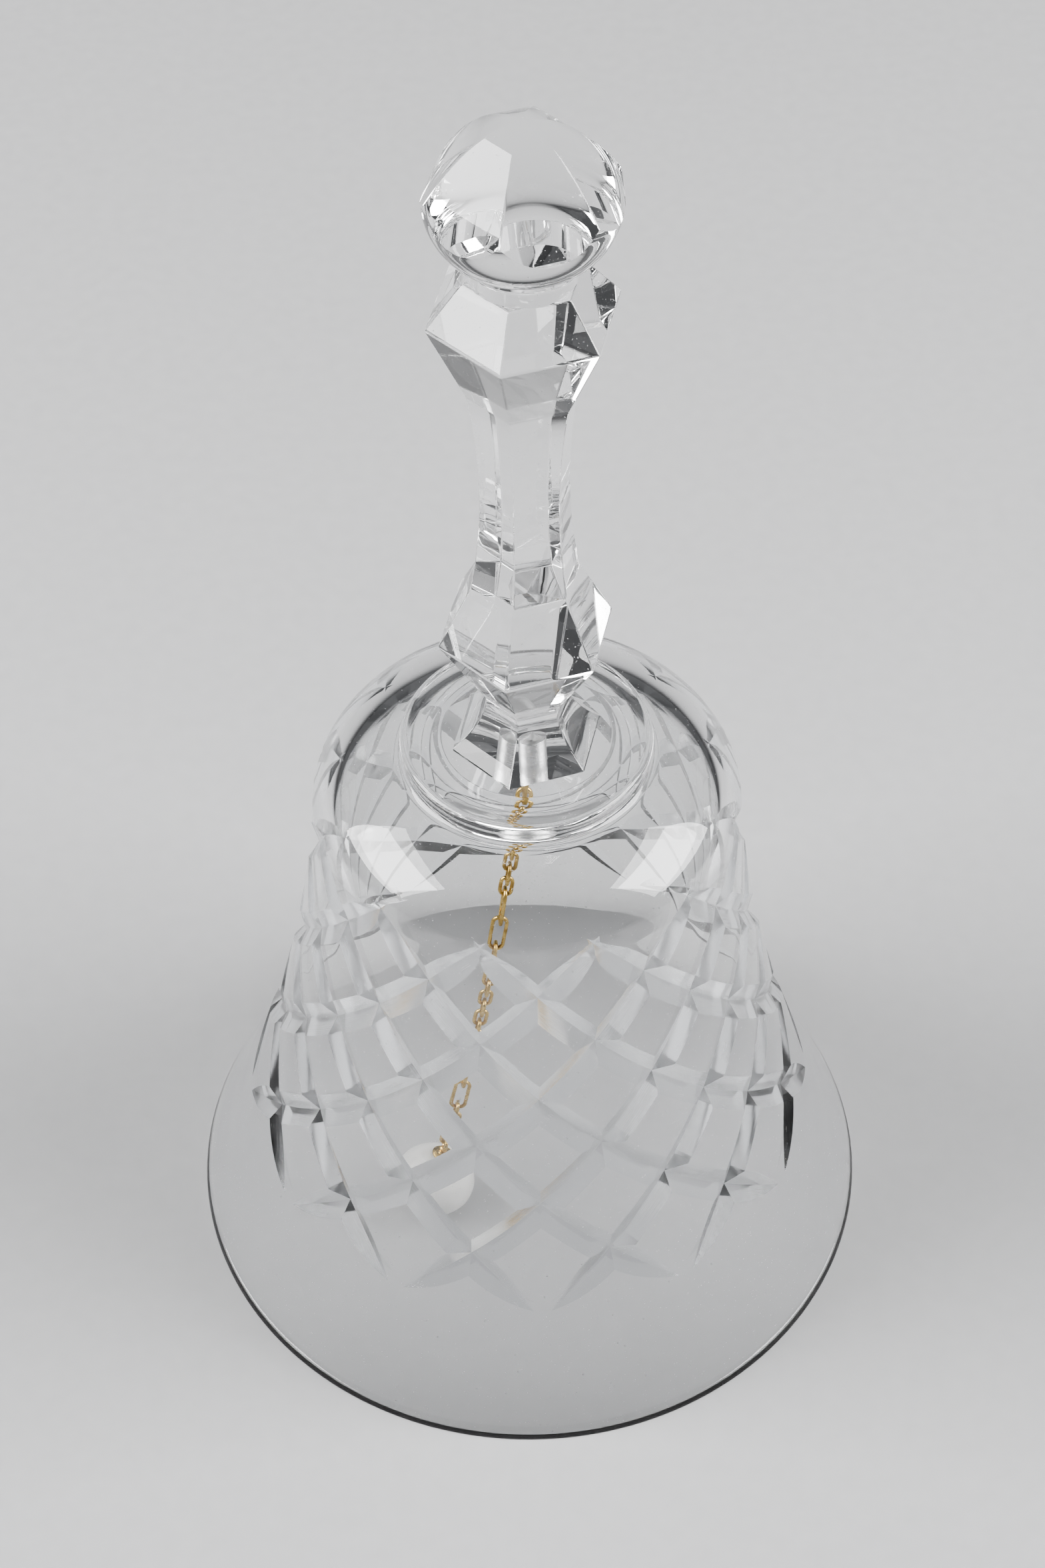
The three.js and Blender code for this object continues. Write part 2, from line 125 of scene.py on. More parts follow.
FOOT_CORNER_RADIUS = 9.2
FOOT_FLARE_HEIGHT = 7.6
NECK_CORNER_RADIUS = 4.9
LOWER_KNOP_CORNER_RADIUS = 10.4
LOWER_KNOP_UNDERSIDE = 10.3
LOWER_KNOP_TOP = 8.2
SHAFT_END_CORNER_RADIUS = 6.4
SHAFT_WAIST_CORNER_RADIUS = 5.2
SHAFT_LENGTH = 28.4
UPPER_KNOP_CORNER_RADIUS = 10.6
UPPER_KNOP_UNDERSIDE = 10.1
UPPER_KNOP_TOP = 5.1
UPPER_KNOP_TOP_CORNER_RADIUS = 6.5
COLLAR_RADIUS = 5.7
COLLAR_HEIGHT = 3.4
FINIAL_RADIUS = 10.2
FINIAL_UNDERSIDE = 6.2
FACET_CORNER_RADIUS = 13.5
FACET_SKIRT = 4.5
HANDLE_TWIST = math.radians(-13)
EDGE_ROUNDING = 0.3

# ---- Hanger, chain and clapper -----------------------------------------------------------------

FERRULE_BORE = 0.6
FERRULE_CHAMFER = 0.2
TURNED_RINGS = 5
TURNED_RING_DEPTH = 0.09
TURNED_MARGIN = 0.6  # plain length at each end of the turned rings
PIN_RADIUS = 0.3
PIN_STEP = 0.5
WIRE_RADIUS = 0.25
HOOK = 0.7
SMALL_BEND_RADIUS = 0.7
LONG_BEND_RADIUS = 0.9
EYE_BEND_RADIUS = 0.95
LONG_LINK_LENGTH = 4.5  # links with a longer pitch than this are the long ones
POST_RADIUS = 0.5
POST_DEPTH = 4.0
FLANGE_RADIUS = 1.3
BALL_BORE = 0.8
BALL_BORE_DEPTH = 4.6
BALL_BORE_CHAMFER = 0.18

# ---- Mesh helpers ------------------------------------------------------------------------------

POLISHED, FACETED, CUT_LEFT, CUT_RIGHT, GROUND = range(5)


def skin(rings, closed=False):
    """Vertices and faces of a solid through rings of points. A ring whose points all coincide
    becomes one point. Unless closed, the first and the last ring are capped."""
    vertices = []
    rows = []
    for ring in rings:
        count = 1 if np.ptp(ring, axis=0).max() < 1e-7 else len(ring)
        rows.append(range(len(vertices), len(vertices) + count))
        vertices.extend(ring[:count])
    faces = []
    for low, high in zip(rows, rows[1:] + rows[:1] if closed else rows[1:]):
        count = max(len(low), len(high))
        for i in range(count):
            j = (i + 1) % count
            corners = [low[i % len(low)], low[j % len(low)], high[j % len(high)], high[i % len(high)]]
            faces.append(list(dict.fromkeys(corners)))
    if not closed:
        faces.extend(row for row in (rows[0][::-1], rows[-1]) if len(row) > 1)
    return vertices, faces


def solid(name, rings, closed=False, slot=0, materials=()):
    """A closed mesh object from rings in millimetres, with its faces turned outwards."""
    vertices, faces = skin(rings, closed)
    mesh = bpy.data.meshes.new(name)
    mesh.from_pydata([tuple(MM * c for c in v) for v in vertices], [], faces)
    shape = bmesh.new()
    shape.from_mesh(mesh)
    if shape.calc_volume(signed=True) < 0:
        bmesh.ops.reverse_faces(shape, faces=shape.faces)
    for face in shape.faces:
        face.smooth = True
        face.material_index = slot
    shape.to_mesh(mesh)
    shape.free()
    for material in materials:
        mesh.materials.append(material)
    piece = bpy.data.objects.new(name, mesh)
    bpy.context.scene.collection.objects.link(piece)
    return piece


def turned(profile, sides):
    """Rings of a profile of (radius, height) points turned round the upright axis."""
    angles = np.linspace(0, 2 * math.pi, sides, endpoint=False)
    directions = np.stack([np.sin(angles), -np.cos(angles)], axis=1)
    return [np.column_stack([directions * r, np.full(sides, z)]) for r, z in profile]


def hexagon(corner_radius, height, rounding):
    """A six-sided section with its corners rounded, in line with the handle's twist."""
    rounding = min(rounding, corner_radius / 3)
    points = []
    for corner in range(6):
        middle = HANDLE_TWIST + corner * math.pi / 3
        centre = (corner_radius - rounding / math.cos(math.pi / 6)) * direction(middle)
        for turn in np.linspace(-math.pi / 6, math.pi / 6, 5):
            points.append(centre + rounding * direction(middle + turn))
    return np.column_stack([np.array(points), np.full(len(points), height)])


def direction(angle):
    """Horizontal unit vector at an angle from the front, growing towards the right."""
    return np.array([math.sin(angle), -math.cos(angle)])


def curve_corner(start, corner, end, steps=6):
    """Points of a rounded corner, from start to end."""
    t = np.linspace(0, 1, steps + 1)[:, None]
    start, corner, end = np.array(start), np.array(corner), np.array(end)
    return (1 - t) ** 2 * start + 2 * t * (1 - t) * corner + t**2 * end


def bezier(points, steps):
    """Points of a cubic curve through four control points."""
    t = np.linspace(0, 1, steps + 1)[:, None]
    a, b, c, d = (np.array(p, float) for p in points)
    return (1 - t) ** 3 * a + 3 * t * (1 - t) ** 2 * b + 3 * t**2 * (1 - t) * c + t**3 * d


def quarter_ellipse(centre, width, base, rise, steps):
    """(radius, height) points from the widest part of a quarter ellipse up to its top."""
    angle = np.linspace(0, math.pi / 2, steps + 1)
    return np.column_stack([centre + width * np.cos(angle), base + rise * np.sin(angle)])


def blunted(points, amount, steps=3):
    """A line with each inner corner rounded off over that distance along both its sides."""
    points = [np.array(p, float) for p in points]
    line = [points[0]]
    for before, corner, after in zip(points, points[1:], points[2:]):
        back, on = before - corner, after - corner
        reach_back = min(amount, np.linalg.norm(back) / 2.2)
        reach_on = min(amount, np.linalg.norm(on) / 2.2)
        start = corner + back / np.linalg.norm(back) * reach_back
        end = corner + on / np.linalg.norm(on) * reach_on
        line.extend(curve_corner(start, corner, end, steps))
    line.append(points[-1])
    return np.array(line)


def combine(target, tool, operation):
    """Adds, cuts or intersects target with tool, and removes tool."""
    modifier = target.modifiers.new(operation, "BOOLEAN")
    modifier.object = tool
    modifier.operation = operation
    modifier.solver = "MANIFOLD"
    graph = bpy.context.evaluated_depsgraph_get()
    mesh = bpy.data.meshes.new_from_object(target.evaluated_get(graph))
    target.modifiers.clear()
    target.data = mesh
    bpy.data.objects.remove(tool)


# ---- Crystal bell ------------------------------------------------------------------------------


def flare(mouth_radius, shoulder_radius, top, steps):
    """The bell curve from the mouth up to the shoulder, as (radius, height) points."""
    points = [
        (mouth_radius, 0),
        (mouth_radius - FLARE_SLOPE * FLARE_REACH, FLARE_REACH),
        (shoulder_radius + UPRIGHT_SLOPE * UPRIGHT_REACH, top - UPRIGHT_REACH),
        (shoulder_radius, top),
    ]
    return bezier(points, steps)


def above(line, height):
    """The part of a line that lies above a height."""
    return line[line[:, 1] > height]


def bowl_outline():
    """The outside and the hollow of the bowl and its foot disc, as (radius, height) lines that
    start at the rim's foot and end on the axis."""
    wall = flare(MOUTH_RADIUS, SHOULDER_RADIUS, SHOULDER_HEIGHT, 90)
    shoulder_width = SHOULDER_RADIUS - CROWN_RADIUS
    shoulder = quarter_ellipse(CROWN_RADIUS, shoulder_width, SHOULDER_HEIGHT, SHOULDER_RISE, 60)
    shoulder = shoulder[shoulder[:, 0] > DISC_RADIUS + FILLET_PAST_DISC]
    bead_centre = np.array([DISC_RADIUS - BEAD_RADIUS, DISC_TOP - BEAD_RADIUS])
    turn = np.radians(np.linspace(BEAD_START, 90, 16))
    bead = bead_centre + BEAD_RADIUS * np.column_stack([np.cos(turn), np.sin(turn)])
    fillet = curve_corner(shoulder[-1], (DISC_RADIUS - FILLET_INSET, CROWN_TOP), bead[0], 8)
    t = np.linspace(0, 1, 20)
    dish_radius = bead[-1][0] + (DISH_RADIUS - DISH_HALF_WIDTH - bead[-1][0]) * t
    dish = np.column_stack([dish_radius, DISC_TOP - DISH_DEPTH * np.sin(math.pi * t)])
    wall = above(wall, RIM_ROUNDING)
    rim = curve_corner((MOUTH_RADIUS - RIM_ROUNDING, 0), (MOUTH_RADIUS, 0), wall[0])
    outside = [rim, wall[1:-1], shoulder, fillet[1:], bead[1:], dish[1:], [(0, DISC_TOP)]]

    inner_mouth = MOUTH_RADIUS - RIM_WALL
    inner_wall = flare(inner_mouth, SHOULDER_RADIUS - SHOULDER_WALL, DOME_BASE, 80)
    inner_wall = above(inner_wall, RIM_ROUNDING)
    dome_width = SHOULDER_RADIUS - SHOULDER_WALL - DOME_FLAT_RADIUS
    dome = quarter_ellipse(DOME_FLAT_RADIUS, dome_width, DOME_BASE, DOME_RISE, 40)
    inner_rim = curve_corner((inner_mouth + RIM_ROUNDING, 0), (inner_mouth, 0), inner_wall[0])
    inside = [inner_rim, inner_wall[1:-1], dome, [(0, DOME_TOP)]]
    return np.vstack(outside), np.vstack(inside)


OUTSIDE, INSIDE = bowl_outline()


def cut_rows(height):
    """How many rows of crossings lie between the first row and a height."""
    return (SHOULDER_HEIGHT - FIRST_ROW_DROP - height) / ROW_PITCH


def cutting_wheel(start, hand, steps=84):
    """Rings of the vee-shaped sweep of one cut, winding down the bowl."""
    drop = CUT_RUN_IN + (CUT_ROWS - 1) * ROW_PITCH + CUT_RUN_OUT
    t = np.linspace(0, 1, steps + 1)
    height = SHOULDER_HEIGHT - FIRST_ROW_DROP + CUT_RUN_IN - t * drop
    angle = start + hand * cut_rows(height) * math.pi / CUTS_PER_FAMILY
    climbing = OUTSIDE[: np.argmax(OUTSIDE[:, 1] > CROWN_TOP - 0.3)]
    radius = np.interp(height, climbing[:, 1], climbing[:, 0])
    slope = np.gradient(radius, height)
    surface = np.column_stack([radius * np.sin(angle), -radius * np.cos(angle), height])
    outward = np.column_stack([np.sin(angle), -np.cos(angle), -slope])
    outward /= np.linalg.norm(outward, axis=1)[:, None]
    along = np.gradient(surface, axis=0)
    across = np.cross(along, outward)
    across /= np.linalg.norm(across, axis=1)[:, None]
    shortfall = np.clip(1 - np.minimum(t, 1 - t) * drop / CUT_RAMP, 0, None)
    depth = CUT_DEPTH - (CUT_DEPTH + CUT_LIFT) * shortfall**2
    bottom = surface - outward * depth[:, None]
    lift = 2 * CUT_DEPTH * outward
    spread = 2 * CUT_DEPTH * math.tan(CUT_HALF_ANGLE) * across
    return np.stack([bottom, bottom + lift - spread, bottom + lift + spread], axis=1)


def stem_profile():
    """Corner radius and height of the handle's six-sided stretch."""
    neck = DISC_TOP + FOOT_FLARE_HEIGHT
    lower_girdle = neck + LOWER_KNOP_UNDERSIDE
    shaft_bottom = lower_girdle + LOWER_KNOP_TOP
    shaft_top = shaft_bottom + SHAFT_LENGTH
    upper_girdle = shaft_top + UPPER_KNOP_UNDERSIDE
    upper_top = upper_girdle + UPPER_KNOP_TOP
    t = np.linspace(0, 1, 25)
    foot = NECK_CORNER_RADIUS + (FOOT_CORNER_RADIUS - NECK_CORNER_RADIUS) * (1 - t) ** 2
    swell = SHAFT_END_CORNER_RADIUS - SHAFT_WAIST_CORNER_RADIUS
    shaft = SHAFT_WAIST_CORNER_RADIUS + swell * (2 * t - 1) ** 2
    line = [(FOOT_CORNER_RADIUS, DISC_TOP - 1.2)]
    line.extend(zip(foot, DISC_TOP + FOOT_FLARE_HEIGHT * t))
    line.append((LOWER_KNOP_CORNER_RADIUS, lower_girdle))
    line.extend(zip(shaft, shaft_bottom + SHAFT_LENGTH * t))
    line.append((UPPER_KNOP_CORNER_RADIUS, upper_girdle))
    line.append((UPPER_KNOP_TOP_CORNER_RADIUS, upper_top))
    line.append((UPPER_KNOP_TOP_CORNER_RADIUS - 3, upper_top + 0.02))
    return blunted(line, EDGE_ROUNDING), upper_top


def finial(base, materials):
    """Round collar and mushroom knob. Six curved facets, in line with the stem's, meet on top."""
    collar_top = base + COLLAR_HEIGHT
    girdle = collar_top + FINIAL_UNDERSIDE
    angle = np.linspace(0, math.pi / 2, 25)
    underside_width = FINIAL_RADIUS - COLLAR_RADIUS
    underside = np.column_stack(
        [COLLAR_RADIUS + underside_width * np.sin(angle), girdle - FINIAL_UNDERSIDE * np.cos(angle)]
    )
    neck = curve_corner((COLLAR_RADIUS, collar_top - 0.9), (COLLAR_RADIUS, collar_top), underside[3])
    line = [[(0, base - 1), (COLLAR_RADIUS, base - 1)], neck, underside[4:]]
    line.append([(FINIAL_RADIUS, HANDLE_TOP + 1), (0, HANDLE_TOP + 1)])
    knob = solid("knob", turned(np.vstack(line), 96), slot=FACETED, materials=materials)

    along = np.linspace(0, 1, 40)
    skirt = HANDLE_TOP - (girdle - FACET_SKIRT)
    rings = [hexagon(FACET_CORNER_RADIUS, base - 2, EDGE_ROUNDING)]
    for a in along[:-1]:
        height = HANDLE_TOP - skirt * (1 - a) ** 2
        rings.append(hexagon(FACET_CORNER_RADIUS * (1 - a), height, EDGE_ROUNDING))
    rings.append(np.tile([0, 0, HANDLE_TOP], (len(rings[0]), 1)))
    facets = solid("facets", rings, slot=FACETED, materials=materials)
    combine(knob, facets, "INTERSECT")
    return knob


def drill(materials):
    """The drilled hole, with its pointed end up inside the handle's foot."""
    tip = HOLE_TOP + HOLE_RADIUS * math.tan(DRILL_POINT)
    start = DOME_TOP - 3  # inside the hollow
    line = [(0, start), (HOLE_RADIUS, start), (HOLE_RADIUS, HOLE_TOP), (0, tip)]
    return solid("drill", turned(line, 48), slot=GROUND, materials=materials)


def crystal_bell(looks):
    """Bowl and handle as one piece of glass, with one look for each kind of surface. Marker
    materials keep the kinds apart while the solids are combined."""
    materials = [bpy.data.materials.new("surface") for _ in looks]
    outline = np.vstack([OUTSIDE[::-1], INSIDE])
    bell = solid("crystal_bell", turned(outline, 192), slot=POLISHED, materials=materials)
    for hand, slot in ((-1, CUT_LEFT), (1, CUT_RIGHT)):
        for i in range(CUTS_PER_FAMILY):
            start = CUT_PHASE + 2 * math.pi * i / CUTS_PER_FAMILY
            wheel = solid("wheel", cutting_wheel(start, hand), slot=slot, materials=materials)
            combine(bell, wheel, "DIFFERENCE")
    stem, stem_top = stem_profile()
    rings = [hexagon(r, z, EDGE_ROUNDING) for r, z in stem]
    combine(bell, solid("stem", rings, slot=FACETED, materials=materials), "UNION")
    combine(bell, finial(stem_top, materials), "UNION")
    combine(bell, drill(materials), "DIFFERENCE")
    shade_crystal(bell.data)
    for i, look in enumerate(looks):
        bell.data.materials[i] = look
    for marker in materials:
        bpy.data.materials.remove(marker)
    return bell


def outline_normals(radius, height):
    """Smooth outward normals, as (radial, upward), of the turned surface nearest each point."""
    best = np.full(len(radius), np.inf)
    result = np.zeros((len(radius), 2))
    points = np.column_stack([radius, height])
    for line, side in ((OUTSIDE, 1), (INSIDE, -1)):
        steps = np.diff(line, axis=0)
        lengths = np.linalg.norm(steps, axis=1)
        flat = side * np.column_stack([steps[:, 1], -steps[:, 0]]) / lengths[:, None]
        smooth = np.vstack([flat[:1], flat[:-1] + flat[1:], flat[-1:]])
        smooth /= np.linalg.norm(smooth, axis=1)[:, None]
        for i, (start, step, length) in enumerate(zip(line, steps, lengths)):
            share = np.clip((points - start) @ step / length**2, 0, 1)
            distance = np.linalg.norm(points - start - share[:, None] * step, axis=1)
            nearer = distance < best
            best[nearer] = distance[nearer]
            blend = share[nearer][:, None]
            result[nearer] = smooth[i] * (1 - blend) + smooth[i + 1] * blend
    return result / np.linalg.norm(result, axis=1)[:, None]


def shade_crystal(mesh):
    """True normals on the turned surfaces. Elsewhere each corner takes the mean of the faces that
    meet there at a gentle angle, weighed by area, so that the flats stay flat up to their edges."""
    corners = np.zeros(len(mesh.loops), int)
    mesh.loops.foreach_get("vertex_index", corners)
    co = np.zeros(len(mesh.vertices) * 3)
    mesh.vertices.foreach_get("co", co)
    co = co.reshape(-1, 3) / MM
    count = len(mesh.polygons)
    sizes, areas, slots = np.zeros(count, int), np.zeros(count), np.zeros(count, int)
    flat = np.zeros(count * 3)
    mesh.polygons.foreach_get("loop_total", sizes)
    mesh.polygons.foreach_get("area", areas)
    mesh.polygons.foreach_get("material_index", slots)
    mesh.polygons.foreach_get("normal", flat)
    flat = flat.reshape(-1, 3)
    face_of = np.repeat(np.arange(count), sizes)

    radius = np.hypot(co[:, 0], co[:, 1])
    turned_normal = outline_normals(radius, co[:, 2])
    outward = co[:, :2] / np.maximum(radius, 1e-9)[:, None]
    smooth = np.column_stack([outward * turned_normal[:, :1], turned_normal[:, 1]])

    normals = np.zeros((len(corners), 3))
    order = np.argsort(corners, kind="stable")
    starts = np.searchsorted(corners[order], np.arange(len(mesh.vertices) + 1))
    gentle = math.cos(math.radians(24))
    for vertex in range(len(mesh.vertices)):
        here = order[starts[vertex] : starts[vertex + 1]]
        faces = face_of[here]
        joined = (flat[faces] @ flat[faces].T > gentle) & (slots[faces][:, None] == slots[faces])
        normals[here] = joined @ (flat[faces] * areas[faces][:, None])
    lathe = slots[face_of] == POLISHED
    normals[lathe] = smooth[corners[lathe]]
    lengths = np.linalg.norm(normals, axis=1)
    normals[lengths > 0] /= lengths[lengths > 0][:, None]
    mesh.polygons.foreach_set("use_smooth", np.ones(count, bool))
    mesh.normals_split_custom_set(normals.tolist())

    angle = np.arctan2(co[:, 0], -co[:, 1])[corners]
    hand = np.where(slots[face_of] == CUT_LEFT, -1, 1)
    offset = angle - CUT_PHASE - hand * cut_rows(co[:, 2])[corners] * math.pi / CUTS_PER_FAMILY
    spacing = 2 * math.pi / CUTS_PER_FAMILY
    offset = (offset + spacing / 2) % spacing - spacing / 2
    uv = np.column_stack([co[corners, 2], offset * radius[corners]]).astype(np.float32)
    mesh.uv_layers.new(name="along_cut").data.foreach_set("uv", uv.ravel())


# ---- Materials ---------------------------------------------------------------------------------


CRYSTAL_IOR = 1.545


class Look:
    """A material built round one Principled shader."""

    def __init__(self, name, **constants):
        self.material = bpy.data.materials.new(name)
        self.material.use_nodes = True
        self.tree = self.material.node_tree
        self.shader = self.tree.nodes["Principled BSDF"]
        for socket, value in constants.items():
            self.shader.inputs[socket.replace("_", " ")].default_value = value

    def add(self, kind, inputs=None, **settings):
        node = self.tree.nodes.new("ShaderNode" + kind)
        for key, value in settings.items():
            setattr(node, key, value)
        for key, value in (inputs or {}).items():
            if isinstance(value, bpy.types.NodeSocket):
                self.tree.links.new(value, node.inputs[key])
            else:
                node.inputs[key].default_value = value
        return node

    def set(self, socket, value):
        self.tree.links.new(value, self.shader.inputs[socket])

    def place(self):
        """Position on the object, in millimetres."""
        at = self.add("TexCoord").outputs["Object"]
        return self.add("Mapping", {"Vector": at, "Scale": (1 / MM, 1 / MM, 1 / MM)}).outputs["Vector"]

    def noise(self, vector, scale, detail=3.0, roughness=0.5):
        inputs = {"Vector": vector, "Scale": scale, "Detail": detail, "Roughness": roughness}
        return self.add("TexNoise", inputs).outputs["Fac"]

    def ramp(self, value, low, high, out_low, out_high):
        inputs = {"Value": value, "From Min": low, "From Max": high}
        inputs.update({"To Min": out_low, "To Max": out_high})
        return self.add("MapRange", inputs, clamp=True).outputs["Result"]

    def mix(self, factor, first, second):
        """Colour between two others, by a factor socket."""
        node = self.add("Mix", data_type="RGBA")
        self.tree.links.new(factor, node.inputs[0])
        node.inputs[6].default_value = (*first, 1)
        node.inputs[7].default_value = (*second, 1)
        return node.outputs[2]

    def maths(self, operation, first, second):
        node = self.add("Math", operation=operation)
        for i, value in enumerate((first, second)):
            if isinstance(value, bpy.types.NodeSocket):
                self.tree.links.new(value, node.inputs[i])
            else:
                node.inputs[i].default_value = value
        return node.outputs[0]

    def bump(self, height, distance, strength=1.0):
        inputs = {"Height": height, "Distance": distance * MM, "Strength": strength}
        self.set("Normal", self.add("Bump", inputs).outputs["Normal"])


def polished_crystal():
    look = Look("polished_crystal", IOR=CRYSTAL_IOR, Transmission_Weight=1.0)
    place = look.place()
    smears = look.ramp(look.noise(place, 0.05, 4), 0.5, 0.75, 0.0, 0.025)
    dust = look.ramp(look.noise(place, 3.2, 1), 0.72, 0.78, 0.0, 0.35)
    look.set("Roughness", look.maths("ADD", smears, dust))
    look.set("Base Color", look.mix(look.noise(place, 0.03), (0.985, 0.99, 0.99), (1.0, 1.0, 1.0)))
    look.bump(look.noise(place, 0.09, 1), 0.05)
    return look.material


def cut_crystal():
    look = Look("cut_crystal", IOR=CRYSTAL_IOR, Transmission_Weight=1.0)
    along = look.add("UVMap", uv_map="along_cut").outputs["UV"]
    stretched = look.add("Mapping", {"Vector": along, "Scale": (0.25, 16.0, 1.0)}).outputs["Vector"]
    stripes = look.noise(stretched, 1.0, 2, 0.5)
    cloud = look.noise(look.place(), 0.35, 3)
    scratches = look.ramp(stripes, 0.35, 0.7, 0.05, 0.2)
    haze = look.ramp(cloud, 0.4, 0.7, 0.0, 0.1)
    look.set("Roughness", look.maths("ADD", scratches, haze))
    look.set("Base Color", look.mix(stripes, (0.90, 0.925, 0.95), (0.97, 0.98, 0.99)))
    look.bump(stripes, 0.006)
    return look.material


def ground_crystal():
    look = Look("ground_crystal", IOR=CRYSTAL_IOR, Transmission_Weight=1.0)
    place = look.place()
    rings = look.add("Mapping", {"Vector": place, "Scale": (0.2, 0.2, 6.0)}).outputs["Vector"]
    grain = look.noise(rings, 1.0, 3)
    look.set("Roughness", look.ramp(grain, 0.3, 0.7, 0.3, 0.6))
    look.set("Base Color", look.mix(grain, (0.93, 0.94, 0.94), (0.99, 0.99, 0.99)))
    look.bump(grain, 0.03)
    return look.material


def white_metal():
    look = Look("white_metal", Metallic=1.0)
    place = look.place()
    lines = look.add("Mapping", {"Vector": place, "Scale": (0.15, 0.15, 9.0)}).outputs["Vector"]
    grain = look.noise(lines, 1.0, 3)
    look.set("Base Color", look.mix(grain, (0.50, 0.50, 0.49), (0.72, 0.72, 0.71)))
    look.set("Roughness", look.ramp(grain, 0.3, 0.7, 0.25, 0.45))
    look.bump(grain, 0.02)
    return look.material


def dark_wire():
    look = Look("dark_wire", Metallic=1.0)
    grain = look.noise(look.place(), 2.5, 3)
    look.set("Base Color", look.mix(grain, (0.20, 0.19, 0.18), (0.42, 0.41, 0.39)))
    look.set("Roughness", look.ramp(grain, 0.3, 0.7, 0.25, 0.5))
    return look.material


def gilt_brass():
    look = Look("gilt_brass", Metallic=1.0)
    place = look.place()
    wear = look.noise(place, 1.1, 3)
    worn = look.ramp(wear, 0.4, 0.65, 0, 1)
    look.set("Base Color", look.mix(worn, (0.70, 0.50, 0.18), (0.40, 0.26, 0.08)))
    look.set("Roughness", look.ramp(wear, 0.35, 0.65, 0.16, 0.42))
    look.bump(look.noise(place, 4.0, 2), 0.01)
    return look.material


def satin_glass():
    look = Look("satin_glass", IOR=1.5, Subsurface_Weight=0.25, Coat_Weight=0.35)
    look.shader.inputs["Subsurface Radius"].default_value = (0.002, 0.002, 0.002)
    look.shader.inputs["Coat Roughness"].default_value = 0.12
    place = look.place()
    cloud = look.noise(place, 0.35, 4)
    look.set("Base Color", look.mix(cloud, (0.72, 0.71, 0.68), (0.86, 0.85, 0.83)))
    look.set("Roughness", look.ramp(cloud, 0.3, 0.7, 0.28, 0.45))
    look.bump(look.noise(place, 1.6, 2), 0.01)
    return look.material


# ---- Metal pieces and the ball -----------------------------------------------------------------


def wire(name, path, radius, material, closed=False, sides=14):
    """Wire along a path of points in millimetres. radius is one number or one for each point."""
    path = np.array(path, float)
    radius = np.broadcast_to(radius, len(path))
    if closed:
        along = np.roll(path, -1, axis=0) - np.roll(path, 1, axis=0)
    else:
        along = np.gradient(path, axis=0)
    along /= np.linalg.norm(along, axis=1)[:, None]
    middle = path.mean(axis=0)
    flat_normal = np.linalg.svd(path - middle)[2][2]
    across = np.cross(along, flat_normal)
    across /= np.linalg.norm(across, axis=1)[:, None]
    turn = np.linspace(0, 2 * math.pi, sides, endpoint=False)
    rings = [
        p + r * (np.outer(np.cos(turn), a) + np.outer(np.sin(turn), flat_normal))
        for p, r, a in zip(path, radius, across)
    ]
    return solid(name, rings, closed, materials=[material])


def stadium(centre, up, wide, half_length, bend_radius, steps=14):
    """Points of a long loop: two half circles joined by straight sides."""
    straight = half_length - bend_radius
    points = []
    for end in (1, -1):
        for turn in np.linspace(0, math.pi, steps + 1):
            side = bend_radius * math.cos(turn) * end
            rise = end * (straight + bend_radius * math.sin(turn))
            points.append(centre + wide * side + up * rise)
    return points


def finish_piece(piece, body, nodes, angle=30):
    """Ties a piece to its body and hides its CAD nodes. Edges over the angle, if any, stay sharp."""
    if angle:
        piece.data.set_sharp_from_angle(angle=math.radians(angle))
    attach(piece, body)
    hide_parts(*nodes)


def hanger_ferrule(material):
    """A short tube with fine turned rings, cemented in the drilled hole."""
    outer = FERRULE_HIGH[0]
    low, high = FERRULE_LOW[2], FERRULE_HIGH[2]
    pitch = (high - low - 2 * TURNED_MARGIN) / TURNED_RINGS
    bore, chamfer = FERRULE_BORE, FERRULE_CHAMFER
    line = [(bore, low + 0.15), (bore + 0.15, low), (outer - chamfer, low), (outer, low + chamfer)]
    for i in range(TURNED_RINGS):
        start = low + TURNED_MARGIN + i * pitch
        valley = (outer - TURNED_RING_DEPTH, start + 0.25 * pitch)
        line += [(outer, start), valley, (outer, start + 0.5 * pitch)]
    line += [(outer, high - 0.25), (outer - chamfer, high), (bore + 0.25, high), (bore, high - chamfer)]
    return solid("hanger_ferrule_turned", turned(line, 48), closed=True, materials=[material])


def eye_pin(material):
    """A straight wire whose lower end is bent round into an eye."""
    top = PIN_HIGH[2]
    centre = PIN_LOW[2] + WIRE_RADIUS + EYE_BEND_RADIUS
    eye_top = centre + EYE_BEND_RADIUS
    steps = int((top - eye_top - 0.8) / PIN_STEP)
    path = [(0, 0, top - PIN_STEP * i) for i in range(steps)]
    path += [(0, 0, eye_top + 0.55), (0.02, 0, eye_top + 0.3)]
    for turn in np.radians(np.linspace(70, -262, 34)):
        path.append((EYE_BEND_RADIUS * math.cos(turn), 0, centre + EYE_BEND_RADIUS * math.sin(turn)))
    radius = [PIN_RADIUS if p[2] > eye_top + 0.2 else WIRE_RADIUS for p in path]
    return wire("eye_pin_wire", path, radius, material)


def chain_geometry():
    """Pivot, downward direction and loop normal of each link and of the clapper."""
    joints = {j["child"]: j for j in frame["joints"]}
    names = sorted(n for n in joints if n.startswith("link")) + ["clapper"]
    pivots = [np.array(joints[n]["pos_m"]) / MM for n in names]
    ball_centre = (BALL_LOW + BALL_HIGH) / 2
    ends = pivots[1:] + [ball_centre]
    rows = []
    for name, pivot, end in zip(names, pivots, ends):
        up = (pivot - end) / np.linalg.norm(pivot - end)
        normal = np.array(joints[name]["axis"], float)
        normal -= up * (normal @ up)
        normal /= np.linalg.norm(normal)
        rows.append((name, pivot, end, up, normal))
    return rows


